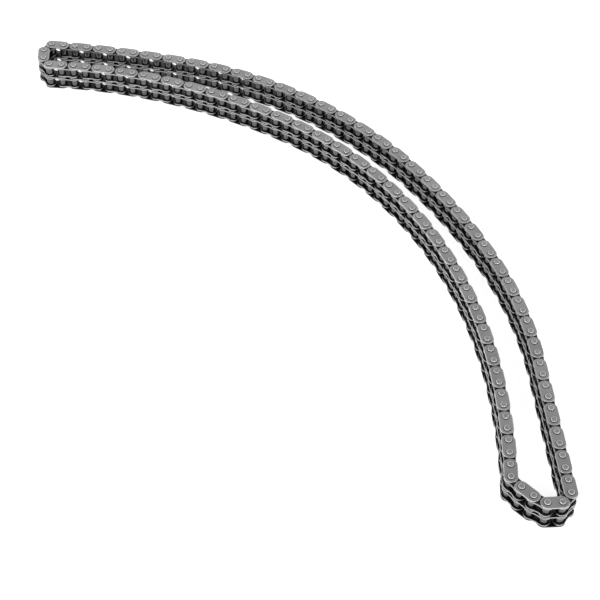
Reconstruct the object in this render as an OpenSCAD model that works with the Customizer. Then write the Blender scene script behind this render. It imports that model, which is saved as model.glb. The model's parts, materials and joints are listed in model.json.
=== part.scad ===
// Endless two-strand roller timing chain, laid on its side as a bent double run.
// Millimetres. Every pin stands upright, and the lower rivet heads rest at z = 0.

/* [Chain] */
// Distance between neighbouring pins
pitch = 9.525; // [9.4:0.005:14]
// Number of outer links in the loop, an even number; there are as many inner links
outer_links = 68; // [54:2:90]

/* [Pins] */
// Diameter of a pin's shank
pin_d = 3.6; // [2.8:0.01:4.4]
// How far the riveted head overhangs the shank all round
head_overhang = 0.4; // [0.25:0.01:0.6]
// Height of the riveted head above the plate
head_h = 0.8; // [0.5:0.05:1.2]
// Diameter of the shallow dish that the rivet tool leaves in it
dimple_d = 2.8; // [1.8:0.05:3.1]
// Depth of that dish
dimple_depth = 0.15; // [0.05:0.01:0.3]

/* [Rollers and bushes] */
// Width between the inner plates of one strand
inner_width = 5.72; // [4:0.01:8]
// Wall of a bush
bush_wall = 0.72; // [0.5:0.01:0.9]
// How far a bush stands out of the inner plates on each side
bush_proud = 0.105; // [0.05:0.005:0.2]
// Wall of a roller
roller_wall = 0.585; // [0.45:0.005:0.9]
// Bevel on a roller's rim
roller_bevel = 0.25; // [0.1:0.05:0.4]

/* [Plates] */
// Thickness of an outer plate
outer_plate_t = 1.04; // [0.8:0.01:1.6]
// Thickness of an inner plate
inner_plate_t = 1.3; // [0.9:0.01:1.8]
// Thickness of the middle plate between the two strands
middle_plate_t = 1.3; // [0.9:0.01:1.8]
// How much slimmer an inner plate is at its waist than at its ends, on each side
waist_depth = 0.7; // [0.4:0.05:0.9]
// Tumbled bevel round the edges of every plate
plate_bevel = 0.3; // [0.1:0.01:0.35]

/* [Clearances] */
// Gap between the round ends of neighbouring inner plates, which also sets every plate's height
inner_end_gap = 0.5; // [0.4:0.005:1.8]
// Gap between the blunt ends of neighbouring outer plates where the chain runs straight
outer_end_gap = 0.6; // [0.5:0.05:1.5]
// Gap that is left there however far the chain bends, no more than either gap above
bent_gap = 0.4; // [0.3:0.05:0.5]
// Radial running clearance of a pin in its bush
pin_clearance = 0.03; // [0.01:0.005:0.1]
// Radial running clearance of a roller on its bush
roller_clearance = 0.04; // [0.01:0.005:0.1]
// Gap between a roller's end and an inner plate
roller_side_gap = 0.08; // [0.03:0.01:0.2]
// Gap between a bush's end and an outer plate
outer_side_gap = 0.065; // [0.03:0.005:0.2]
// Gap between a bush's end and a middle plate
middle_side_gap = 0.205; // [0.05:0.005:0.5]

/* [Lay of the loop] */
// Compass heading of the outer arc's first link, counted anticlockwise from X
first_heading = -4.5; // [-180:0.5:180]
// How far the outer arc has turned at each sixth of its length
outer_arc_turn = [0, 7.5, 28, 47.5, 61, 79.5, 79.5];
// How far the inner arc has turned at each sixth of its length
inner_arc_turn = [0, 15.5, 28.5, 49, 66, 80, 90.5];
// Turn at each pin of the near turn after its first, where the loop closes itself
near_turn = [46, 36, 12.5, 7.5, 40.5];
// Turn at the two pins of the far turn's middle link
far_turn = [32, 37.5];

/* [Hidden] */
$fn = 48;

// Links of the loop are numbered on from the outer arc's far end; even ones are outer links.
link_count = 4 * round(outer_links / 2);
turn_links = len(near_turn);
far_links = len(far_turn) + 1;
outer_arc_links = link_count / 2 - 1;
inner_arc_links = link_count - outer_arc_links - turn_links - far_links;
outer_arc_sections = 6;
inner_arc_sections = 5;
// Links of the far turn's section that belong to the outer and to the inner arc
far_lead = 7;
far_tail = 2;

// Heights, counted from the lower rivet heads
bush_len = inner_width + 2 * (inner_plate_t + bush_proud);
strand_pitch = bush_len + 2 * middle_side_gap + middle_plate_t;
half_outer = bush_len / 2 + outer_side_gap;
pin_len = strand_pitch + 2 * (half_outer + outer_plate_t + head_h);
mid_z = pin_len / 2;
strand_z = [mid_z - strand_pitch / 2, mid_z + strand_pitch / 2];
outer_plate_z = [head_h, pin_len - head_h - outer_plate_t];
roller_len = inner_width - 2 * roller_side_gap;

// Diameters that fit one in the other
head_d = pin_d + 2 * head_overhang;
bush_bore_d = pin_d + 2 * pin_clearance;
bush_d = bush_bore_d + 2 * bush_wall;
roller_bore_d = bush_d + 2 * roller_clearance;
roller_d = roller_bore_d + 2 * roller_wall;

// Arcs and flats of a plate's outline cross each other by this much instead of only touching
blend = 0.005;

// Outlines of the plates: the corner of an outer plate is rounded until it clears its neighbour's swing.
plate_h = pitch - inner_end_gap;
half_h = plate_h / 2;
plate_reach = (pitch - outer_end_gap) / 2;
swing_r = (pitch - bent_gap) / 2;
corner_sum = plate_reach + half_h - swing_r;
corner_r = corner_sum - sqrt(2 * (swing_r - plate_reach) * (swing_r - half_h));

// The waist of an inner plate is an arc that runs smoothly into both round ends.
lobe_r = half_h;
half_waist = half_h - waist_depth;
waist_r = ((pitch / 2) ^ 2 + half_waist ^ 2 - lobe_r ^ 2) / (2 * (lobe_r - half_waist));
waist_centre = half_waist + waist_r;
touch_x = pitch / 2 * waist_r / (waist_r + lobe_r);

// Route of the loop through its pins
function unit(heading) = [cos(heading), sin(heading)];
function heading_of(v) = atan2(v.y, v.x);
function sum(list, i = 0) = i == len(list) - 1 ? list[i] : list[i] + sum(list, i + 1);
function turned(v, a) = [v.x * cos(a) - v.y * sin(a), v.x * sin(a) + v.y * cos(a)];
function eased(stations, share) =
    lookup(share * (len(stations) - 1), [for (i = [0:len(stations) - 1]) [i, stations[i]]]);
function arc_turn(stations, links) = [for (i = [0:links - 1]) eased(stations, (i + 0.5) / links)];
function walk(start, headings) =
    [for (i = 0, at = start; i <= len(headings);
        at = i < len(headings) ? at + pitch * unit(headings[i]) : at, i = i + 1) at];
function steps(headings) = pitch * sum([for (h = headings) unit(h)]);
function running(list) = [for (i = 0, s = 0; i <= len(list); s = i < len(list) ? s + list[i] : s, i = i + 1) s];

outer_arc = [for (t = arc_turn(outer_arc_turn, outer_arc_links)) first_heading - t];
outer_chord = steps(outer_arc);

// Near turn and inner arc in a frame of their own, with the turn's first link along X
turn_headings = [for (s = running(near_turn)) -s];
inner_turn = arc_turn(inner_arc_turn, inner_arc_links);
inner_arc = [for (i = [0:inner_arc_links - 1])
    turn_headings[turn_links] + inner_turn[inner_arc_links - 1] - inner_turn[inner_arc_links - 1 - i]];
near_part = concat([for (i = [0:turn_links - 1]) turn_headings[i]], inner_arc);
near_chord = steps(near_part);

// Far turn in a frame of its own, with its middle link along X
far_part = [far_turn[0], 0, -far_turn[1]];
far_chord = steps(far_part);

// The three chords make a triangle, which closes the loop whatever the sizes are.
closing_cosine = (outer_chord * outer_chord + near_chord * near_chord - far_chord * far_chord)
    / (2 * norm(outer_chord) * norm(near_chord));
near_heading = heading_of(-outer_chord) + acos(closing_cosine) - heading_of(near_chord);
far_start = outer_chord + turned(near_chord, near_heading);
far_heading = heading_of(-far_start) - heading_of(far_chord);

headings = concat(outer_arc, [for (h = near_part) h + near_heading], [for (h = far_part) h + far_heading]);
route = walk([0, 0], headings);

// The loop is centred on the box round all its plates.
function plate_box(i, sign) =
    let (c = abs(cos(headings[i])), s = abs(sin(headings[i])), half_l = pitch / 2 + plate_reach - corner_r,
        middle = (route[i] + route[i + 1]) / 2)
    middle + sign * [c * half_l + s * (half_h - corner_r) + corner_r,
        s * half_l + c * (half_h - corner_r) + corner_r];
function lobe_box(i, sign) = route[i] + sign * [lobe_r, lobe_r];
high = [for (i = [0:link_count - 1]) i % 2 == 0 ? plate_box(i, 1) : lobe_box(i, 1)];
low = [for (i = [0:link_count - 1]) i % 2 == 0 ? plate_box(i, -1) : lobe_box(i, -1)];
centre = [for (k = [0, 1]) (max([for (p = high) p[k]]) + min([for (p = low) p[k]])) / 2];
pins = [for (p = route) p - centre];

// Sections of the loop that turn as one: name, first link and number of links
function cut(first, last, parts, k) = first + 2 * round((last - first) * k / parts / 2);
near_first = outer_arc_links;
inner_first = near_first + turn_links - 1;
far_first = link_count - far_links - far_tail;
sections = concat(
    [["far_turn", far_first, link_count - far_first + far_lead]],
    [for (k = [0:outer_arc_sections - 1])
        let (a = cut(far_lead, near_first, outer_arc_sections, k),
            b = cut(far_lead, near_first, outer_arc_sections, k + 1))
        [str("outer_arc_", k + 1), a, b - a]],
    [for (k = [0:inner_arc_sections - 1])
        let (a = cut(inner_first, far_first, inner_arc_sections, k),
            b = cut(inner_first, far_first, inner_arc_sections, k + 1))
        [str("inner_arc_", inner_arc_sections - k), a, b - a]]
);
section_parts = ["outer_plates", "pins", "inner_plates", "rollers"];

// Links of the near turn that swing one by one: name and link number
turn_outer = [for (k = [1:2:turn_links - 2]) [str("turn_link_", k + 1), near_first + k]];
turn_inner = [for (k = [0:2:turn_links - 3]) [str("turn_link_", k + 1), near_first + k]];

// Places one link's parts: the middle between its pins, turned to its heading
module at_link(i) {
    translate((pins[i] + pins[i + 1]) / 2)
        rotate(headings[i])
            children();
}

// Half of a bevelled plate's cross-section, from its middle out to the given reach
function bevelled_half(reach, thickness) = [
    [reach - plate_bevel, 0],
    [reach, plate_bevel],
    [reach, thickness - plate_bevel],
    [reach - plate_bevel, thickness]
];

// Slab of the given length along X whose two long edges are bevelled
module bevelled_slab(length, width, thickness) {
    half = bevelled_half(width / 2, thickness);
    rotate([90, 0, 90])
        translate([0, 0, -length / 2])
            linear_extrude(length)
                polygon(concat(half, [for (k = [3:-1:0]) [-half[k].x, half[k].y]]));
}

module bevelled_disc(radius, thickness) {
    rotate_extrude()
        polygon(concat([[0, 0]], bevelled_half(radius, thickness), [[0, thickness]]));
}

// Outer or middle plate: straight sides, blunt ends, rounded corners, two pin holes
module blunt_plate(thickness) {
    corner_x = pitch / 2 + plate_reach - corner_r;
    corner_y = half_h - corner_r;
    difference() {
        union() {
            bevelled_slab(2 * corner_x, plate_h - 2 * blend, thickness);
            rotate(90)
                bevelled_slab(2 * corner_y, pitch + 2 * (plate_reach - blend), thickness);
            for (x = [-corner_x, corner_x], y = [-corner_y, corner_y])
                translate([x, y])
                    bevelled_disc(corner_r, thickness);
        }
        for (x = [-pitch / 2, pitch / 2])
            translate([x, 0, -1])
                cylinder(d = pin_d, h = thickness + 2);
    }
}

// Cutter for one side of a waist, which flares at both faces to leave the bevel
module waist_cutter() {
    r = waist_r + blend;
    t = inner_plate_t;
    rotate_extrude($fn = 96)
        polygon([
            [0, -1], [r + plate_bevel, -1], [r + plate_bevel, 0], [r, plate_bevel],
            [r, t - plate_bevel], [r + plate_bevel, t], [r + plate_bevel, t + 1], [0, t + 1]
        ]);
}

// Inner plate: two round ends with a slim waist between them, and two bush holes
module waisted_plate() {
    difference() {
        union() {
            translate([-touch_x, -half_h, 0])
                cube([2 * touch_x, plate_h, inner_plate_t]);
            for (x = [-pitch / 2, pitch / 2])
                translate([x, 0])
                    bevelled_disc(lobe_r, inner_plate_t);
        }
        for (y = [-waist_centre, waist_centre])
            translate([0, y])
                waist_cutter();
        for (x = [-pitch / 2, pitch / 2])
            translate([x, 0, -1])
                cylinder(d = bush_d, h = inner_plate_t + 2);
    }
}

// Pin with a spun rivet head at each end: a rounded rim and a dimple from the punch
module pin() {
    rim = (head_d - dimple_d) / 2 - 0.3;
    half = [
        [dimple_d / 2 - 0.2, head_h - dimple_depth],
        [dimple_d / 2, head_h],
        [head_d / 2 - rim, head_h],
        for (a = [60, 30]) [head_d / 2 - rim + rim * cos(a), head_h * 0.35 + head_h * 0.65 * sin(a)],
        [head_d / 2, head_h * 0.35],
        [head_d / 2, 0],
        [pin_d / 2, 0]
    ];
    rotate_extrude()
        polygon(concat(
            [[0, pin_len - dimple_depth]],
            [for (p = half) [p.x, pin_len - head_h + p.y]],
            [for (k = [len(half) - 1:-1:0]) [half[k].x, head_h - half[k].y]],
            [[0, dimple_depth]]
        ));
}

module bush() {
    translate([0, 0, -bush_len / 2])
        difference() {
            cylinder(d = bush_d, h = bush_len);
            translate([0, 0, -1])
                cylinder(d = bush_bore_d, h = bush_len + 2);
        }
}

module roller() {
    rotate_extrude()
        polygon([
            [roller_bore_d / 2, -roller_len / 2],
            [roller_d / 2 - roller_bevel, -roller_len / 2],
            [roller_d / 2, roller_bevel - roller_len / 2],
            [roller_d / 2, roller_len / 2 - roller_bevel],
            [roller_d / 2 - roller_bevel, roller_len / 2],
            [roller_bore_d / 2, roller_len / 2]
        ]);
}

// The two outer plates of one outer link and the middle plate between its strands
module outer_link_plates(i) {
    at_link(i) {
        for (z = outer_plate_z)
            translate([0, 0, z])
                blunt_plate(outer_plate_t);
        translate([0, 0, mid_z - middle_plate_t / 2])
            blunt_plate(middle_plate_t);
    }
}

// The four plates of one inner link, two on each strand
module inner_link_plates(i) {
    at_link(i)
        for (z = strand_z, side = [-1, 1])
            translate([0, 0, z + side * (inner_width + inner_plate_t) / 2 - inner_plate_t / 2])
                waisted_plate();
}

// One part of each strand, on the axis of the given pin
module on_strands(i) {
    for (z = strand_z)
        translate([pins[i].x, pins[i].y, z])
            children();
}

module link_pins(i) {
    for (k = [i, i + 1])
        translate(pins[k])
            pin();
}

module link_bushes(i) {
    for (k = [i, i + 1])
        on_strands(k)
            bush();
}

module link_rollers(i) {
    for (k = [i, i + 1])
        on_strands(k)
            roller();
}

// Link numbers of a section, outer ones or inner ones
function links_of(section, inner) =
    [for (i = [section[1]:section[1] + section[2] - 1]) if (i % 2 == inner) i % link_count];

module outer_plates(links) {
    color("#8f8c91")
        for (i = links)
            outer_link_plates(i);
}

module inner_plates(links) {
    color("#7d7b7f")
        for (i = links)
            inner_link_plates(i);
}

module chain_pins(links) {
    color("#a3a1a5")
        for (i = links)
            link_pins(i);
}

module bushes(links) {
    color("#55555a")
        for (i = links)
            link_bushes(i);
}

module rollers(links) {
    color("#5e5e63")
        for (i = links)
            link_rollers(i);
}

// The two rollers, one on each strand, that turn about one pin of the near turn
module roller_pair(i) {
    color("#5e5e63")
        on_strands(i)
            roller();
}

for (s = sections) {
    outer_plates(links_of(s, 0));
    chain_pins(links_of(s, 0));
    inner_plates(links_of(s, 1));
    union() {
        rollers(links_of(s, 1));
        bushes(links_of(s, 1));
    }
}
for (t = turn_outer) {
    outer_plates([t[1]]);
    chain_pins([t[1]]);
}
for (t = turn_inner) {
    inner_plates([t[1]]);
    bushes([t[1]]);
    roller_pair(t[1]);
    roller_pair(t[1] + 1);
}
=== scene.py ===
"""Looks of an endless two-strand roller timing chain, laid on its side on a white studio floor.

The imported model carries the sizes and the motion. This script gives every piece of the chain a
finer surface in the same place: stamped and tumbled plates with rounded edges, spun rivet heads,
bushes and rollers, each in the steel that such a piece is made of.
"""

import json
import logging
import math
from collections.abc import Sequence
from dataclasses import dataclass, field
from enum import Enum

import bpy
import numpy as np
from mathutils import Matrix, Vector
from numpy.typing import NDArray


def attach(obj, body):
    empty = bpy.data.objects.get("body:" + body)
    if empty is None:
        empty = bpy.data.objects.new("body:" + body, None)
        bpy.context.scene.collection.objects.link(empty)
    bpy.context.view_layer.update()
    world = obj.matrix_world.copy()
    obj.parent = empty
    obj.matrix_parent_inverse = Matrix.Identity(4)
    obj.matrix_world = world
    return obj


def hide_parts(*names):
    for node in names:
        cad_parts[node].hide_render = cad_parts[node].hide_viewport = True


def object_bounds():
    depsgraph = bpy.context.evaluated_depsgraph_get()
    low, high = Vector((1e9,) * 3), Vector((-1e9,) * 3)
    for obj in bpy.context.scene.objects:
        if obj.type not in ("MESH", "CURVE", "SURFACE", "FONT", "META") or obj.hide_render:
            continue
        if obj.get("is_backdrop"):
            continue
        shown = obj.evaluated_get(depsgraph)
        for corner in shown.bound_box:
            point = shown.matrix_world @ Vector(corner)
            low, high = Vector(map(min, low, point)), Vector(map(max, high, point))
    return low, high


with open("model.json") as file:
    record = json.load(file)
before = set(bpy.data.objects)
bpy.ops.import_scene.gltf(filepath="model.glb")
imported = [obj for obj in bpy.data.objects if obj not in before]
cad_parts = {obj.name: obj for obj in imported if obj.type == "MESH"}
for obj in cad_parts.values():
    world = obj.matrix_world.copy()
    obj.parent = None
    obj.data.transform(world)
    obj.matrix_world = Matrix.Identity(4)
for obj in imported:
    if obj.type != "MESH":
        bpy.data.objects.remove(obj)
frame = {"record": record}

LOG = logging.getLogger("timing_chain")
MM = 0.001
SHADE_SPAN = (0.3, 0.7)  # each piece's own shade, between the dull and the bright tone
Array = NDArray[np.float64]
Numbers = NDArray[np.int64]


class Kind(Enum):
    """The kinds of piece that a section of the chain can hold."""

    OUTER_PLATES = "outer_plates"
    INNER_PLATES = "inner_plates"
    PINS = "pins"
    ROLLERS = "rollers"
    BUSHES = "bushes"
    ROLLER_A = "roller_a"
    ROLLER_B = "roller_b"


# ---------------------------------------------------------------------------------------------
# Finishes


def linear(colour: str) -> tuple[float, float, float, float]:
    """Turn an sRGB hex colour into linear light.

    Args:
        colour: Six hex digits after a hash.

    Returns:
        Linear red, green and blue, and an alpha of 1.
    """
    srgb = np.array([int(colour[i : i + 2], 16) for i in (1, 3, 5)]) / 255
    light = np.where(srgb <= 0.04045, srgb / 12.92, ((srgb + 0.055) / 1.055) ** 2.4)
    return (float(light[0]), float(light[1]), float(light[2]), 1.0)


def add_node(
    tree: bpy.types.NodeTree,
    kind: str,
    settings: dict[str, object],
    links: dict[str | int, bpy.types.NodeSocket] | None = None,
) -> bpy.types.Node:
    """Add one shader node with its settings and links.

    Args:
        tree: The node tree that gets the node.
        kind: The node's type, such as ShaderNodeTexNoise.
        settings: Attributes of the node, or else its input sockets, with their values.
        links: Input sockets by name or number, with the output that feeds each.

    Returns:
        The new node.
    """
    node = tree.nodes.new(kind)
    for name, value in settings.items():
        if hasattr(node, name):
            setattr(node, name, value)
        else:
            node.inputs[name].default_value = value
    for name, socket in (links or {}).items():
        tree.links.new(socket, node.inputs[name])
    return node


@dataclass(frozen=True)
class SteelFinish:
    """A steel surface whose tone, sheen and fine relief vary as the real one's do.

    One attribute runs from -1, painted shade where parts lie close and shade one another, to 1,
    where an edge is rubbed bright and also carries a painted highlight.
    Patches are as wide as the marks that heat and oil leave. The grain of tumbling or drawing is
    a few hundredths of a millimetre on the real steel, and is drawn as coarse as it needs to show.
    """

    name: str
    slot: str
    bright: str
    dull: str
    # The rubbed tone: real wear on edges, pale enough to be their painted highlight too.
    rubbed_highlight: str
    roughness: tuple[float, float]
    rubbed_roughness: float
    patch_mm: float
    grain_mm: float
    relief: float
    # Painted shade: the dark tone laid where parts lie close and shade one another.
    painted_shade_colour: str = "#2b2a2c"
    blotch_span: tuple[float, float] = (0.6, 1.4)
    wear_span: tuple[float, float] = (0.25, 0.75)
    least_wear: float = 0.55
    sheen_span: tuple[float, float] = (0.3, 0.7)
    relief_mm: float = 0.02

    def material(self) -> bpy.types.Material:
        """Build the node material.

        Soft patches and each piece's own shade mix the dull and the bright tone. One attribute,
        broken up by fine grain, brings in the rubbed tone on edges and walls, which is wear and a
        painted highlight, and below zero the painted shade tone. The grain also shifts the
        roughness and lifts the surface a little.

        Returns:
            The material.
        """
        made = bpy.data.materials.new(self.name)
        made.use_nodes = True
        tree = made.node_tree
        tree.nodes.clear()
        place = add_node(tree, "ShaderNodeTexCoord", {}).outputs["Object"]
        patches = add_node(
            tree,
            "ShaderNodeTexNoise",
            {"Scale": 1 / (self.patch_mm * MM), "Detail": 3.0, "Roughness": 0.6},
            {"Vector": place},
        )
        grain = add_node(
            tree,
            "ShaderNodeTexNoise",
            {"Scale": 1 / (self.grain_mm * MM), "Detail": 2.0, "Roughness": 0.5},
            {"Vector": place},
        )
        shade = add_node(tree, "ShaderNodeAttribute", {"attribute_name": "shade"})
        wear_and_light = add_node(tree, "ShaderNodeAttribute", {"attribute_name": "wear_and_light"})
        blotch = add_node(
            tree,
            "ShaderNodeMath",
            {"operation": "ADD"},
            {0: patches.outputs["Fac"], 1: shade.outputs["Fac"]},
        )
        spread = add_node(
            tree,
            "ShaderNodeMapRange",
            {"From Min": self.blotch_span[0], "From Max": self.blotch_span[1]},
            {"Value": blotch.outputs[0]},
        )
        ground = add_node(
            tree,
            "ShaderNodeMixRGB",
            {"Color1": linear(self.dull), "Color2": linear(self.bright)},
            {"Fac": spread.outputs["Result"]},
        )
        broken = add_node(
            tree,
            "ShaderNodeMapRange",
            {
                "From Min": self.wear_span[0],
                "From Max": self.wear_span[1],
                "To Min": self.least_wear,
                "To Max": 1.0,
            },
            {"Value": grain.outputs["Fac"]},
        )
        # How far the rubbed tone, wear and painted highlight, comes in, broken up by grain.
        wear_and_highlight = add_node(
            tree,
            "ShaderNodeMath",
            {"operation": "MULTIPLY"},
            {0: broken.outputs["Result"], 1: wear_and_light.outputs["Fac"]},
        )
        tone = add_node(
            tree,
            "ShaderNodeMixRGB",
            {"Color2": linear(self.rubbed_highlight)},
            {"Fac": wear_and_highlight.outputs[0], "Color1": ground.outputs["Color"]},
        )
        # Below zero the attribute brings in the painted shade tone.
        painted_shade = add_node(
            tree,
            "ShaderNodeMapRange",
            {"From Min": 0.0, "From Max": -1.0},
            {"Value": wear_and_light.outputs["Fac"]},
        )
        with_painted_shade = add_node(
            tree,
            "ShaderNodeMixRGB",
            {"Color2": linear(self.painted_shade_colour)},
            {"Fac": painted_shade.outputs["Result"], "Color1": tone.outputs["Color"]},
        )
        sheen = add_node(
            tree,
            "ShaderNodeMapRange",
            {
                "From Min": self.sheen_span[0],
                "From Max": self.sheen_span[1],
                "To Min": self.roughness[0],
                "To Max": self.roughness[1],
            },
            {"Value": grain.outputs["Fac"]},
        )
        gloss = add_node(
            tree,
            "ShaderNodeMapRange",
            {"To Max": self.rubbed_roughness},
            {"Value": wear_and_highlight.outputs[0], "To Min": sheen.outputs["Result"]},
        )
        relief = add_node(
            tree,
            "ShaderNodeBump",
            {"Strength": self.relief, "Distance": self.relief_mm * MM},
            {"Height": grain.outputs["Fac"]},
        )
        shader = add_node(
            tree,
            "ShaderNodeBsdfPrincipled",
            {"Metallic": 1.0},
            {
                "Base Color": with_painted_shade.outputs["Color"],
                "Roughness": gloss.outputs["Result"],
                "Normal": relief.outputs["Normal"],
            },
        )
        add_node(tree, "ShaderNodeOutputMaterial", {}, {"Surface": shader.outputs["BSDF"]})
        return made


# Carbon steel strip, stamped and then tumbled: an even satin grey with rubbed edges, painted
# brighter as their highlight.
TUMBLED_STRIP = SteelFinish(
    name="tumbled steel strip",
    slot="outer_plate",
    bright="#a8a7a8",
    dull="#8f8e8f",
    rubbed_highlight="#f6f5f6",
    roughness=(0.28, 0.38),
    rubbed_roughness=0.24,
    patch_mm=6.0,
    grain_mm=0.7,
    relief=0.25,
)
# The same strip between other plates: its faces painted darker as the shade that falls between the
# plates, its edges rubbed and painted with a highlight.
SHADED_STRIP = SteelFinish(
    name="shaded steel strip",
    slot="inner_plate",
    bright="#565557",
    dull="#3f3e41",
    rubbed_highlight="#dad9da",
    roughness=(0.26, 0.34),
    rubbed_roughness=0.2,
    patch_mm=8.0,
    grain_mm=0.7,
    relief=0.25,
)
# Drawn pin wire, bright where the rivet tool has spun the head over, and painted brighter there as
# the shoulder's highlight.
SPUN_PIN = SteelFinish(
    name="spun rivet steel",
    slot="pin",
    bright="#a6a5a6",
    dull="#949394",
    rubbed_highlight="#f4f3f4",
    roughness=(0.22, 0.32),
    rubbed_roughness=0.12,
    patch_mm=2.5,
    grain_mm=0.5,
    relief=0.2,
)
# Curled and case-hardened bush: dark from its heat treatment, and painted darker still as the shade
# deep between the plates.
CASED_SHADED_BUSH = SteelFinish(
    name="case-hardened and shaded bush steel",
    slot="bush",
    bright="#5a595b",
    dull="#434245",
    rubbed_highlight="#9a999a",
    roughness=(0.26, 0.34),
    rubbed_roughness=0.24,
    patch_mm=5.0,
    grain_mm=0.7,
    relief=0.2,
)
# Cold-formed roller: a thin heat-treatment oxide under a film of oil, rubbed at its rims, and
# painted darker still as the shade between the plates.
OILED_SHADED_ROLLER = SteelFinish(
    name="oiled and shaded roller steel",
    slot="roller",
    bright="#565557",
    dull="#3e3d40",
    rubbed_highlight="#7a797b",
    roughness=(0.18, 0.26),
    rubbed_roughness=0.2,
    patch_mm=5.0,
    grain_mm=0.8,
    relief=0.2,
)


# ---------------------------------------------------------------------------------------------
# Surfaces


@dataclass(frozen=True)
class Solid:
    """A closed solid on a grid: u runs round each ring, v from the lowest ring to the highest.

    rings holds the points, shaped (v, u, 3). low and high hold the shading normals at the lower
    and upper edge of each band between two rings, shaped (v - 1, u, 3). The last field says how
    much each ring is rubbed bright with a painted highlight, from 0 to 1, or painted with shade,
    below 0. A flat face closes the first and the last ring.
    """

    rings: Array
    low: Array
    high: Array
    wear_and_light: Array

    @classmethod
    def lathe(cls, radii: Array, heights: Array, tilts: Array, wear_and_light: Array, steps: int) -> "Solid":
        """Spin a profile about the Z axis.

        A point at (u, v) is (r(v) cos u, r(v) sin u, z(v)), and its normal leans from straight
        out to straight up by the profile's own tilt there.

        Args:
            radii: The profile's radii, from the bottom up.
            heights: The profile's heights.
            tilts: For each band, its normal's angle above the horizontal at both edges, degrees.
            wear_and_light: How much each ring is rubbed bright with a painted highlight, or painted
                with shade below zero.
            steps: Points round the axis.

        Returns:
            The solid.
        """
        turn = np.arange(steps) * 2 * np.pi / steps
        out = np.stack([np.cos(turn), np.sin(turn), np.zeros(steps)], axis=-1)
        up = np.array([0.0, 0.0, 1.0])
        rings = radii[:, None, None] * out + heights[:, None, None] * up
        lean = np.radians(tilts)[:, :, None, None]
        normals = np.cos(lean) * out + np.sin(lean) * up
        return cls(rings, normals[:, 0], normals[:, 1], wear_and_light)

    @classmethod
    def plate(
        cls, outline: Array, facing: Array, thickness: float, edge: float, wear_and_light: Sequence[float]
    ) -> "Solid":
        """Raise a plate from its outline, with both edges rounded over.

        Ring v sits at its own height, drawn in along the outline's normal: by nothing on the side
        wall, by the edge radius where a face begins, and by twice that where its rubbed rim ends.

        Args:
            outline: Points of the outline, anticlockwise, shaped (u, 2).
            facing: The outline's outward normals, shaped (u, 2).
            thickness: The plate's thickness.
            edge: Radius of the rounded edge.
            wear_and_light: How much each of the six rings is rubbed bright with a painted
                highlight, or painted with shade below zero, from the lower face up.

        Returns:
            The solid, with its lower face at z = 0.
        """
        side = np.pad(facing, ((0, 0), (0, 1)))
        up = np.array([0.0, 0.0, 1.0])
        inset = edge * np.array([2.0, 1.0, 0.0, 0.0, 1.0, 2.0])[:, None, None]
        level = np.array([0.0, 0.0, edge, thickness - edge, thickness, thickness])[:, None, None]
        rings = np.pad(outline, ((0, 0), (0, 1))) - inset * side + level * up
        over = np.broadcast_to(up, side.shape)
        low = np.stack([-over, -over, side, side, over])
        high = np.stack([-over, side, side, over, over])
        return cls(rings, low, high, np.array(wear_and_light))


@dataclass(frozen=True)
class Spots:
    """Where copies of a solid go: their origins, shaped (n, 3), and headings in degrees."""

    origins: Array
    headings: Array

    @classmethod
    def stacked(cls, places: Array, headings: Array, heights: Array) -> "Spots":
        """Repeat each place at each height.

        Args:
            places: Points in the plane, shaped (n, 2).
            headings: A heading for each point.
            heights: The heights.

        Returns:
            One spot for each place and height.
        """
        flat = np.repeat(places, len(heights), axis=0)
        levels = np.tile(heights, len(places))
        return cls(np.column_stack([flat, levels]), np.repeat(headings, len(heights)))

    def turned(self, vectors: Array) -> Array:
        """Turn vectors by each heading about Z.

        Args:
            vectors: Vectors, shaped (..., 3).

        Returns:
            The turned copies, shaped (n, ..., 3).
        """
        a = np.radians(self.headings)
        one, nil = np.ones_like(a), np.zeros_like(a)
        turn = np.array(
            [[np.cos(a), -np.sin(a), nil], [np.sin(a), np.cos(a), nil], [nil, nil, one]]
        )
        return np.einsum("ijn,...j->n...i", turn, vectors)


@dataclass(frozen=True)
class Batch:
    """Copies of one solid in one finish."""

    solid: Solid
    spots: Spots
    finish: SteelFinish

    def points(self) -> Array:
        """All copies' points, shaped (n, v, u, 3)."""
        return self.spots.turned(self.solid.rings) + self.spots.origins[:, None, None, :]

    def normals(self) -> Array:
        """All copies' shading normals, in the faces' order.

        Returns:
            One normal for each corner of each face.
        """
        low, high = self.solid.low, self.solid.high
        bands = np.stack([low, np.roll(low, -1, 1), np.roll(high, -1, 1), high], axis=2)
        flat = np.zeros((2, low.shape[1], 3))
        flat[:, :, 2] = np.array([[-1.0], [1.0]])
        corners = np.concatenate([bands.reshape(-1, 3), flat.reshape(-1, 3)])
        return self.spots.turned(corners).reshape(-1, 3)

    def faces(self, start: int) -> tuple[Numbers, Numbers]:
        """All copies' faces: the quads between rings, then the lower and the upper cap.

        Args:
            start: Number of the first copy's first vertex.

        Returns:
            Vertex numbers of all corners, one face after another, and each face's corner count.
        """
        rings, around = self.solid.rings.shape[:2]
        count = len(self.spots.headings)
        v, u = np.meshgrid(np.arange(rings - 1) * around, np.arange(around), indexing="ij")
        nxt = (u + 1) % around
        bands = np.stack([v + u, v + nxt, v + around + nxt, v + around + u], axis=-1).reshape(-1)
        caps = np.concatenate([np.arange(around)[::-1], (rings - 1) * around + np.arange(around)])
        one = np.concatenate([bands, caps])
        offsets = start + np.arange(count) * rings * around
        sizes = np.concatenate([np.full((rings - 1) * around, 4), [around, around]])
        return (one[None, :] + offsets[:, None]).reshape(-1), np.tile(sizes, count)


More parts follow.
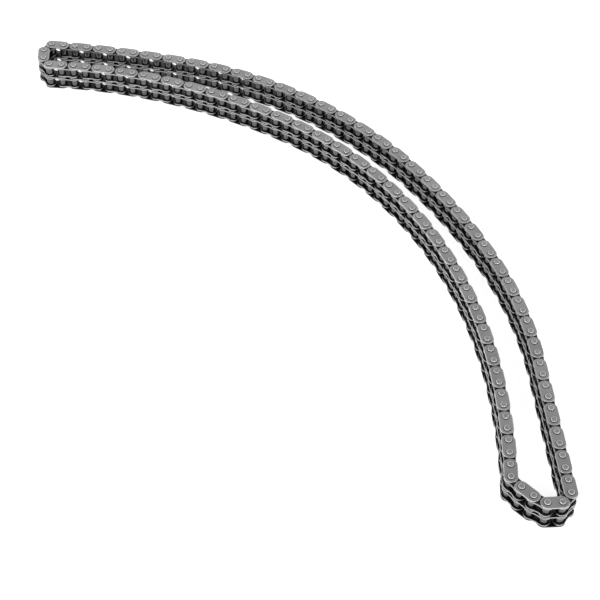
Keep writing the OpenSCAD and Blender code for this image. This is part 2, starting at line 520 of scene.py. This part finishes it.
def steel_mesh(name: str, batches: list[Batch], seed: int) -> bpy.types.Mesh:
    """Put batches into one mesh, with their shading normals, finishes, rubbed wear and painted
    light, and each piece's own shade.

    Args:
        name: The mesh's name.
        batches: The copies of each solid, in millimetres.
        seed: Seed of the small difference in shade from piece to piece.

    Returns:
        The mesh, in metres.
    """
    points, loops, sizes, normals, wear_and_light, shade, slots = [], [], [], [], [], [], []
    chance = np.random.default_rng(seed)
    start = 0
    for number, batch in enumerate(batches):
        placed = batch.points()
        count, rings, around = placed.shape[:3]
        corners, face_sizes = batch.faces(start)
        points.append(placed.reshape(-1, 3))
        loops.append(corners)
        sizes.append(face_sizes)
        normals.append(batch.normals())
        wear_and_light.append(np.tile(np.repeat(batch.solid.wear_and_light, around), count))
        shade.append(np.repeat(chance.uniform(*SHADE_SPAN, count), rings * around))
        slots.append(np.full(len(face_sizes), number))
        start += count * rings * around
    mesh = bpy.data.meshes.new(name)
    mesh.vertices.add(start)
    mesh.vertices.foreach_set("co", (np.concatenate(points) * MM).astype(np.float32).ravel())
    totals = np.concatenate(sizes)
    mesh.loops.add(int(totals.sum()))
    mesh.loops.foreach_set("vertex_index", np.concatenate(loops).astype(np.int32))
    mesh.polygons.add(len(totals))
    mesh.polygons.foreach_set("loop_start", (np.cumsum(totals) - totals).astype(np.int32))
    mesh.polygons.foreach_set("material_index", np.concatenate(slots).astype(np.int32))
    mesh.polygons.foreach_set("use_smooth", np.ones(len(totals), dtype=bool))
    mesh.update(calc_edges=True)
    # The first holds rubbed wear and painted highlight above zero and painted shade below it; the
    # second each piece's own tone.
    for title, values in (("wear_and_light", wear_and_light), ("shade", shade)):
        layer = mesh.attributes.new(title, "FLOAT", "POINT")
        layer.data.foreach_set("value", np.concatenate(values).astype(np.float32))
    mesh.normals_split_custom_set(np.concatenate(normals).astype(np.float32).tolist())
    return mesh


# ---------------------------------------------------------------------------------------------
# The chain's route


@dataclass(frozen=True)
class Route:
    """How the loop lies, with the same values as the part's source, in millimetres and degrees."""

    pitch: float = 9.525
    outer_links: int = 68
    first_heading: float = -4.5
    outer_arc_turn: tuple[float, ...] = (0, 7.5, 28, 47.5, 61, 79.5, 79.5)
    inner_arc_turn: tuple[float, ...] = (0, 15.5, 28.5, 49, 66, 80, 90.5)
    near_turn: tuple[float, ...] = (46, 36, 12.5, 7.5, 40.5)
    far_turn: tuple[float, ...] = (32, 37.5)
    outer_arc_sections: int = 6
    inner_arc_sections: int = 5
    far_lead: int = 7
    far_tail: int = 2

    @property
    def link_count(self) -> int:
        """All links of the loop, outer and inner."""
        return 2 * self.outer_links

    @property
    def near_first(self) -> int:
        """First link of the near turn, after the outer arc."""
        return self.outer_links - 1

    @property
    def inner_first(self) -> int:
        """First link of the inner arc's sections."""
        return self.near_first + len(self.near_turn) - 1

    @property
    def far_first(self) -> int:
        """First link of the far turn's section."""
        return self.link_count - len(self.far_turn) - 1 - self.far_tail

    def arc_turn(self, stations: tuple[float, ...], links: int) -> Array:
        """Spread an arc's turn over its links.

        Args:
            stations: How far the arc has turned at equal shares of its length.
            links: Links of the arc.

        Returns:
            The turn at the middle of each link.
        """
        share = (np.arange(links) + 0.5) / links * (len(stations) - 1)
        return np.interp(share, np.arange(len(stations)), stations)

    def headings(self) -> Array:
        """Each link's heading, in degrees.

        The outer arc, the near turn with the inner arc, and the far turn each have a straight
        chord, and the triangle of the three chords gives the headings that close the loop.

        Returns:
            One heading for each link.
        """
        outer = self.first_heading - self.arc_turn(self.outer_arc_turn, self.near_first)
        turn = -np.concatenate([[0.0], np.cumsum(self.near_turn)])
        inner_links = self.far_first + self.far_tail - self.inner_first - 1
        inner = self.arc_turn(self.inner_arc_turn, inner_links)
        near = np.concatenate([turn[:-1], turn[-1] + inner[-1] - inner[::-1]])
        far = np.array([self.far_turn[0], 0.0, -self.far_turn[1]])
        chords = [np.exp(1j * np.radians(part)).sum() for part in (outer, near, far)]
        a, b, c = (abs(chord) for chord in chords)
        swing = math.acos((a * a + b * b - c * c) / (2 * a * b))
        near_heading = np.angle(-chords[0]) + swing - np.angle(chords[1])
        gap = chords[0] + chords[1] * np.exp(1j * near_heading)
        far_heading = np.angle(-gap) - np.angle(chords[2])
        near, far = near + np.degrees(near_heading), far + np.degrees(far_heading)
        return np.concatenate([outer, near, far])

    def pins(self, reach: float, half_height: float, corner: float) -> Array:
        """Walk the loop through its pins, and centre it on the box round its plates.

        Args:
            reach: How far an outer plate reaches past its pin.
            half_height: Half the height of a plate, which is an inner plate's end radius too.
            corner: Corner radius of an outer plate.

        Returns:
            The pins, shaped (links + 1, 2).
        """
        steps = self.pitch * np.exp(1j * np.radians(self.headings()))
        walk = np.concatenate([[0], np.cumsum(steps)])
        route = np.column_stack([walk.real, walk.imag])
        way = np.abs(np.column_stack([steps.real, steps.imag])) / self.pitch
        long, wide = self.pitch / 2 + reach - corner, half_height - corner
        blunt = way * long + way[:, ::-1] * wide + corner
        middle = (route[:-1] + route[1:]) / 2
        outer = np.arange(self.link_count)[:, None] % 2 == 0
        high = np.where(outer, middle + blunt, route[:-1] + half_height)
        low = np.where(outer, middle - blunt, route[:-1] - half_height)
        return route - (high.max(axis=0) + low.min(axis=0)) / 2

    def sections(self) -> dict[str, tuple[int, int]]:
        """Cut the loop where its bodies meet.

        Returns:
            For each body, its first link and its number of links.
        """
        bodies = {"far_turn": (self.far_first, self.link_count - self.far_first + self.far_lead)}
        outer = self.cuts(self.far_lead, self.near_first, self.outer_arc_sections)
        for k, (first, last) in enumerate(zip(outer[:-1], outer[1:])):
            bodies[f"outer_arc_{k + 1}"] = (first, last - first)
        inner = self.cuts(self.inner_first, self.far_first, self.inner_arc_sections)
        for k, (first, last) in enumerate(zip(inner[:-1], inner[1:])):
            bodies[f"inner_arc_{self.inner_arc_sections - k}"] = (first, last - first)
        for k in range(len(self.near_turn) - 1):
            bodies[f"turn_link_{k + 1}"] = (self.near_first + k, 1)
        return bodies

    def cuts(self, first: int, last: int, parts: int) -> list[int]:
        """Link numbers that cut an arc into parts of whole link pairs."""
        return [first + 2 * int((last - first) * k / parts / 2 + 0.5) for k in range(parts + 1)]


# ---------------------------------------------------------------------------------------------
# The chain's pieces


@dataclass
class Strands:
    """Heights of the two strands, counted from the lower rivet heads, in millimetres."""

    pin_length: float = 22.58
    strand_pitch: float = 10.24
    inner_width: float = 5.72
    head_height: float = 0.8

    @property
    def middle(self) -> float:
        """Height half way between the strands."""
        return self.pin_length / 2

    @property
    def centres(self) -> Array:
        """Heights of the middles of the lower and the upper strand."""
        return self.middle + np.array([-0.5, 0.5]) * self.strand_pitch


@dataclass
class Plates:
    """Link plates: blunt outer and middle plates, and waisted inner plates, in millimetres."""

    strands: Strands
    pitch: float = 9.525
    height: float = 9.025
    reach: float = 4.4625
    bent_gap: float = 0.4
    waist_depth: float = 0.7
    outer_thickness: float = 1.04
    inner_thickness: float = 1.3
    middle_thickness: float = 1.3
    edge: float = 0.3
    corner_points: int = 5
    end_points: int = 9
    dip_share: float = 0.4
    # How much the six rings of a plate are rubbed bright with a painted highlight, or painted with
    # shade below zero, from the lower face to the upper one.
    clean: tuple[float, ...] = (-1.0, -1.0, -0.4, 1.0, 0.4, 0.0)
    shaded_rings: tuple[float, ...] = (-0.5, -0.5, 0.1, 1.0, -0.1, -0.3)
    topmost: tuple[float, ...] = (-0.5, -0.5, 0.1, 1.0, 0.2, -0.5)

    @property
    def corner(self) -> float:
        """Corner radius of a blunt plate, which clears its neighbour's swing by the bent gap.

        Returns:
            Radius of the quarter arc that touches the plate's side, its blunt end and the circle
            about its own pin whose radius is half of what the pitch leaves beside the gap.
        """
        swing = (self.pitch - self.bent_gap) / 2
        half = self.height / 2
        return self.reach + half - swing - math.sqrt(2 * (swing - self.reach) * (swing - half))

    def blunt_outline(self) -> tuple[Array, Array]:
        """Outline of an outer or middle plate: flat sides and blunt ends joined by quarter arcs.

        Returns:
            Points and outward normals, anticlockwise.
        """
        turn = np.radians(np.arange(4)[:, None] * 90 + np.linspace(0, 90, self.corner_points))
        facing = np.stack([np.cos(turn), np.sin(turn)], axis=-1)
        half = np.array([self.pitch / 2 + self.reach, self.height / 2]) - self.corner
        centres = np.array([[1, 1], [-1, 1], [-1, -1], [1, -1]]) * half
        return (centres[:, None, :] + self.corner * facing).reshape(-1, 2), facing.reshape(-1, 2)

    def waisted_outline(self) -> tuple[Array, Array]:
        """Outline of an inner plate: two round ends, and a hollow arc into each waist.

        Returns:
            Points and outward normals, anticlockwise.
        """
        lobe, half = self.height / 2, self.pitch / 2
        waist = lobe - self.waist_depth
        hollow = (half**2 + waist**2 - lobe**2) / (2 * (lobe - waist))
        touch = math.degrees(math.atan2(waist + hollow, half))
        end = np.radians(np.linspace(touch - 180, 180 - touch, self.end_points))
        end_facing = np.stack([np.cos(end), np.sin(end)], axis=-1)
        dip = np.radians(-90 + self.dip_share * np.array([1, -1]) * (90 - touch))
        dip_inward = np.stack([np.cos(dip), np.sin(dip)], axis=-1)
        points = np.concatenate(
            [[half, 0] + lobe * end_facing, [0, waist + hollow] + hollow * dip_inward]
        )
        facing = np.concatenate([end_facing, -dip_inward])
        return np.concatenate([points, -points]), np.concatenate([facing, -facing])

    def outer(self, middles: Array, headings: Array) -> list[Batch]:
        """The outer plates of outer links, and the middle plate between their strands.

        Args:
            middles: The links' middles.
            headings: The links' headings.

        Returns:
            Three batches: the top plates, the bottom plates and the middle plates.
        """
        s, outline = self.strands, self.blunt_outline()
        top = Solid.plate(*outline, self.outer_thickness, self.edge, self.clean)
        foot = Solid.plate(*outline, self.outer_thickness, self.edge, self.clean[::-1])
        middle = Solid.plate(*outline, self.middle_thickness, self.edge, self.shaded_rings)
        high = np.array([s.pin_length - s.head_height - self.outer_thickness])
        between = np.array([s.middle - self.middle_thickness / 2])
        return [
            Batch(top, Spots.stacked(middles, headings, high), TUMBLED_STRIP),
            Batch(foot, Spots.stacked(middles, headings, np.array([s.head_height])), TUMBLED_STRIP),
            Batch(middle, Spots.stacked(middles, headings, between), SHADED_STRIP),
        ]

    def inner(self, middles: Array, headings: Array) -> list[Batch]:
        """The four plates of each inner link.

        Args:
            middles: The links' middles.
            headings: The links' headings.

        Returns:
            Two batches: the topmost plates, whose rims get more painted highlight and whose faces
                more painted shade, and the rest.
        """
        outline = self.waisted_outline()
        top = Solid.plate(*outline, self.inner_thickness, self.edge, self.topmost)
        rest = Solid.plate(*outline, self.inner_thickness, self.edge, self.shaded_rings)
        half = self.strands.inner_width / 2
        sides = np.array([-half - self.inner_thickness, half])
        levels = (self.strands.centres[:, None] + sides).reshape(-1)
        return [
            Batch(top, Spots.stacked(middles, headings, levels[3:]), SHADED_STRIP),
            Batch(rest, Spots.stacked(middles, headings, levels[:3]), SHADED_STRIP),
        ]


@dataclass
class Pins:
    """Pins whose ends are spun over into rivet heads, in millimetres."""

    strands: Strands
    shank: float = 3.6
    head: float = 4.4
    dimple: float = 2.8
    dimple_depth: float = 0.15
    dimple_slope: float = 0.2
    wall_share: float = 0.35
    shoulder: float = 0.5
    # Width of the dark ring round each head's foot: painted shade where the head shades the plate.
    painted_shade: float = 0.45
    shade_ring_lift: float = 0.01
    dish_tilts: tuple[float, float] = (125.0, 100.0)
    shoulder_points: int = 5
    steps: int = 24
    # How much the nine rings of a head are rubbed bright with a painted highlight, or painted with
    # shade below zero, from the shade ring round its foot to its dish.
    wear_and_light: tuple[float, ...] = (-0.4, -1.0, 0.0, 0.5, 0.8, 1.0, 0.3, 0.0, 0.0)

    def solid(self) -> Solid:
        """One pin: a shank between two heads.

        A head's profile starts with a thin ring of painted shade laid on the plate round its foot,
        where the head shades the plate. It goes up the short wall, over a shoulder that is a
        quarter of an ellipse, along the flat rim and down the slope of the dish that the rivet tool
        leaves.

        Returns:
            The pin, upright on z = 0.
        """
        top, wall, across = self.strands.head_height, self.wall_share, self.shoulder
        over = np.radians(np.linspace(0, 90, self.shoulder_points))
        radii = np.concatenate([
            [self.head / 2 + self.painted_shade, self.head / 2],
            self.head / 2 - across + across * np.cos(over),
            [self.dimple / 2, self.dimple / 2 - self.dimple_slope],
        ])
        heights = np.concatenate([
            [self.shade_ring_lift, 1.2 * self.shade_ring_lift],
            top * (wall + (1 - wall) * np.sin(over)),
            [top, top - self.dimple_depth],
        ])
        lean = np.degrees(np.arctan2(across * np.sin(over), (1 - wall) * top * np.cos(over)))
        flat = [90.0, 90.0]
        tilts = np.array(
            [[-90.0, -90.0], flat, [0.0, 0.0], *zip(lean[:-1], lean[1:]), flat, self.dish_tilts]
        )
        length = self.strands.pin_length
        return Solid.lathe(
            np.concatenate([radii[::-1], [self.shank / 2] * 2, radii]),
            np.concatenate([top - heights[::-1], [top, length - top], length - top + heights]),
            np.concatenate([-tilts[::-1, ::-1], [[0.0, 0.0]], tilts]),
            np.concatenate([self.wear_and_light[::-1], [0.0] * 2, self.wear_and_light]),
            self.steps,
        )

    def riveted(self, ends: Array) -> list[Batch]:
        """The pins at the given places."""
        spots = Spots.stacked(ends, np.zeros(len(ends)), np.zeros(1))
        return [Batch(self.solid(), spots, SPUN_PIN)]


@dataclass
class Rollers:
    """Rollers and the bushes that they turn on, in millimetres."""

    strands: Strands
    roller_d: float = 6.35
    roller_length: float = 5.56
    bevel: float = 0.25
    bush_d: float = 5.1
    bush_length: float = 8.53
    roller_steps: int = 20
    bush_steps: int = 16

    def roller(self, ends: Array) -> list[Batch]:
        """Rollers on both strands: plain cylinders whose rims are bevelled.

        Args:
            ends: The pins that they turn about.

        Returns:
            One batch.
        """
        half, r = self.roller_length / 2, self.roller_d / 2
        solid = Solid.lathe(
            np.array([r - self.bevel, r, r, r - self.bevel]),
            np.array([-half, self.bevel - half, half - self.bevel, half]),
            np.array([[-60.0, -15.0], [0.0, 0.0], [15.0, 60.0]]),
            np.array([0.5, 0.6, 0.6, 0.5]),
            self.roller_steps,
        )
        spots = Spots.stacked(ends, np.zeros(len(ends)), self.strands.centres)
        return [Batch(solid, spots, OILED_SHADED_ROLLER)]

    def bush(self, ends: Array) -> list[Batch]:
        """Bushes on both strands: plain cylinders that stand a little proud of the inner plates.

        Args:
            ends: The pins that pass through them.

        Returns:
            One batch.
        """
        half = self.bush_length / 2
        solid = Solid.lathe(
            np.full(2, self.bush_d / 2),
            np.array([-half, half]),
            np.zeros((1, 2)),
            np.zeros(2),
            self.bush_steps,
        )
        spots = Spots.stacked(ends, np.zeros(len(ends)), self.strands.centres)
        return [Batch(solid, spots, CASED_SHADED_BUSH)]


@dataclass
class Chain:
    """The whole chain: its route, and the pieces of each section."""

    route: Route = field(default_factory=Route)
    strands: Strands = field(default_factory=Strands)

    def __post_init__(self) -> None:
        """Work out where the links lie."""
        self.plates = Plates(self.strands, self.route.pitch)
        self.pins = Pins(self.strands)
        self.rollers = Rollers(self.strands)
        self.headings = self.route.headings()
        self.ends = self.route.pins(self.plates.reach, self.plates.height / 2, self.plates.corner)

    def batches(self, kind: Kind, first: int, count: int) -> list[Batch]:
        """All pieces of one kind in a section.

        Args:
            kind: The kind of piece.
            first: The section's first link.
            count: The section's number of links.

        Returns:
            The batches that make them up.
        """
        links = np.arange(first, first + count) % self.route.link_count
        links = links[links % 2 == (0 if kind in (Kind.OUTER_PLATES, Kind.PINS) else 1)]
        middles = (self.ends[links] + self.ends[links + 1]) / 2
        both = np.stack([self.ends[links], self.ends[links + 1]], axis=1).reshape(-1, 2)
        match kind:
            case Kind.OUTER_PLATES:
                return self.plates.outer(middles, self.headings[links])
            case Kind.INNER_PLATES:
                return self.plates.inner(middles, self.headings[links])
            case Kind.PINS:
                return self.pins.riveted(both)
            case Kind.BUSHES:
                return self.rollers.bush(both)
            case Kind.ROLLERS:
                return self.rollers.roller(both) + self.rollers.bush(both)
            case Kind.ROLLER_A:
                return self.rollers.roller(both[:1])
            case Kind.ROLLER_B:
                return self.rollers.roller(both[1:])

    def build(self) -> None:
        """Build every node's finer surface, dress it and let it ride on its body."""
        steels: dict[SteelFinish, bpy.types.Material] = {}
        bodies = frame["record"]["behaviour"]["bodies"]
        for section, (first, count) in self.route.sections().items():
            spinning = [f"{section}_{pair.value}" for pair in (Kind.ROLLER_A, Kind.ROLLER_B)]
            held = [(body, node) for body in (section, *spinning) for node in bodies.get(body, [])]
            for body, node in held:
                batches = self.batches(Kind(node.removeprefix(f"{section}_")), first, count)
                mesh = steel_mesh(f"{node}_steel", batches, first)
                for finish in (batch.finish for batch in batches):
                    if finish not in steels:
                        steels[finish] = finish.material()
                    mesh.materials.append(steels[finish])
                piece = bpy.data.objects.new(f"{node}_steel", mesh)
                bpy.context.scene.collection.objects.link(piece)
                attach(piece, body)
                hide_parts(node)
                LOG.info("%s: %d faces", piece.name, len(mesh.polygons))


# ---------------------------------------------------------------------------------------------
# Studio


@dataclass(frozen=True)
class Lamp:
    """A square soft lamp: its place and edge in metres, and its power in watts."""

    name: str
    at: tuple[float, float, float]
    size: float
    watts: float

    def hang(self) -> None:
        """Hang it so that it faces the chain."""
        data = bpy.data.lights.new(self.name, "AREA")
        data.shape = "SQUARE"
        data.size = self.size
        data.energy = self.watts
        lamp = bpy.data.objects.new(self.name, data)
        lamp.location = self.at
        lamp.rotation_euler = (-Vector(self.at)).to_track_quat("-Z", "Y").to_euler()
        bpy.context.scene.collection.objects.link(lamp)


@dataclass(frozen=True)
class Studio:
    """A white floor under soft lamps, seen from where the photograph was taken."""

    camera_at: tuple[float, float, float] = (0.01927, -0.78915, 0.81845)
    camera_tilt: float = 42.711
    camera_roll: float = 1.703
    lens: float = 95.18
    sensor: float = 36.0
    sight: float = 20.0
    floor_half: float = 3.0
    floor_colour: str = "#d2d2d2"
    floor_lift: float = 0.75
    ceiling_from: float = 0.6
    ceiling_strength: float = 0.25
    lamps: tuple[Lamp, ...] = (
        Lamp("overhead_lamp", (0.0, 0.0, 1.7), 1.0, 1.5),
        Lamp("front_lamp", (0.0, -1.8, 1.1), 1.2, 3.5),
        Lamp("left_lamp", (-0.9, -0.9, 1.3), 0.35, 3.0),
        Lamp("right_lamp", (0.9, -0.9, 1.3), 0.35, 3.0),
    )

    def camera(self) -> None:
        """Set the camera at the photograph's height, tilt and lens."""
        data = bpy.data.cameras.new("photo_camera")
        data.lens = self.lens
        data.sensor_width = self.sensor
        data.clip_end = self.sight
        camera = bpy.data.objects.new("photo_camera", data)
        camera.location = self.camera_at
        turn = Matrix.Rotation(math.radians(self.camera_tilt), 4, "X")
        turn = turn @ Matrix.Rotation(math.radians(self.camera_roll), 4, "Z")
        camera.rotation_euler = turn.to_euler()
        bpy.context.scene.collection.objects.link(camera)
        bpy.context.scene.camera = camera

    def seen(self, tree: bpy.types.NodeTree) -> bpy.types.NodeSocket:
        """One where the camera, or a reflection or refraction, looks straight at the surface.

        Args:
            tree: The node tree that asks.

        Returns:
            The socket with that value.
        """
        rays = add_node(tree, "ShaderNodeLightPath", {}).outputs
        direct = add_node(
            tree,
            "ShaderNodeMath",
            {"operation": "MAXIMUM"},
            {0: rays["Is Camera Ray"], 1: rays["Is Glossy Ray"]},
        )
        both = add_node(
            tree,
            "ShaderNodeMath",
            {"operation": "MAXIMUM"},
            {0: direct.outputs[0], 1: rays["Is Transmission Ray"]},
        )
        return both.outputs[0]

    def floor(self) -> None:
        """Lay a white floor that keeps the chain's faint shadow."""
        h = self.floor_half
        mesh = bpy.data.meshes.new("studio_floor")
        mesh.from_pydata([(-h, -h, 0), (h, -h, 0), (h, h, 0), (-h, h, 0)], [], [(0, 1, 2, 3)])
        floor = bpy.data.objects.new("studio_floor", mesh)
        bpy.context.scene.collection.objects.link(floor)
        floor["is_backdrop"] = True
        sweep = bpy.data.materials.new("white paper sweep")
        sweep.use_nodes = True
        tree = sweep.node_tree
        tree.nodes.clear()
        lift = add_node(tree, "ShaderNodeMath", {"operation": "MULTIPLY"}, {0: self.seen(tree)})
        lift.inputs[1].default_value = self.floor_lift
        paper = add_node(tree, "ShaderNodeBsdfDiffuse", {"Color": linear(self.floor_colour)})
        glow = add_node(tree, "ShaderNodeEmission", {}, {"Strength": lift.outputs[0]})
        both = add_node(
            tree, "ShaderNodeAddShader", {}, {0: paper.outputs["BSDF"], 1: glow.outputs["Emission"]}
        )
        add_node(tree, "ShaderNodeOutputMaterial", {}, {"Surface": both.outputs["Shader"]})
        mesh.materials.append(sweep)

    def room(self) -> None:
        """Surround the chain with a white room that dims towards its ceiling."""
        world = bpy.data.worlds.new("pale_room")
        bpy.context.scene.world = world
        world.use_nodes = True
        tree = world.node_tree
        tree.nodes.clear()
        way = add_node(tree, "ShaderNodeTexCoord", {}).outputs["Generated"]
        climb = add_node(tree, "ShaderNodeSeparateXYZ", {}, {"Vector": way}).outputs["Z"]
        level = add_node(
            tree,
            "ShaderNodeMapRange",
            {
                "interpolation_type": "SMOOTHSTEP",
                "From Min": self.ceiling_from,
                "To Min": 1.0,
                "To Max": self.ceiling_strength,
            },
            {"Value": climb},
        )
        walls = add_node(
            tree,
            "ShaderNodeBackground",
            {"Color": linear("#ffffff")},
            {"Strength": level.outputs["Result"]},
        )
        add_node(tree, "ShaderNodeOutputWorld", {}, {"Surface": walls.outputs["Background"]})

    def build(self) -> None:
        """Set up the whole studio."""
        bpy.context.scene.view_settings.view_transform = "Standard"
        self.camera()
        self.floor()
        self.room()
        for lamp in self.lamps:
            lamp.hang()
        LOG.info("studio: camera %s, lens %.1f mm", self.camera_at, self.lens)


def main(cad_box: tuple[Vector, Vector]) -> None:
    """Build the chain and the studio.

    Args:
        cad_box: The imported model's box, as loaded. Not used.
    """
    logging.basicConfig(level=logging.INFO, format="%(name)s: %(message)s")
    Chain().build()
    Studio().build()


if __name__ == "__main__":
    main(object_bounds())
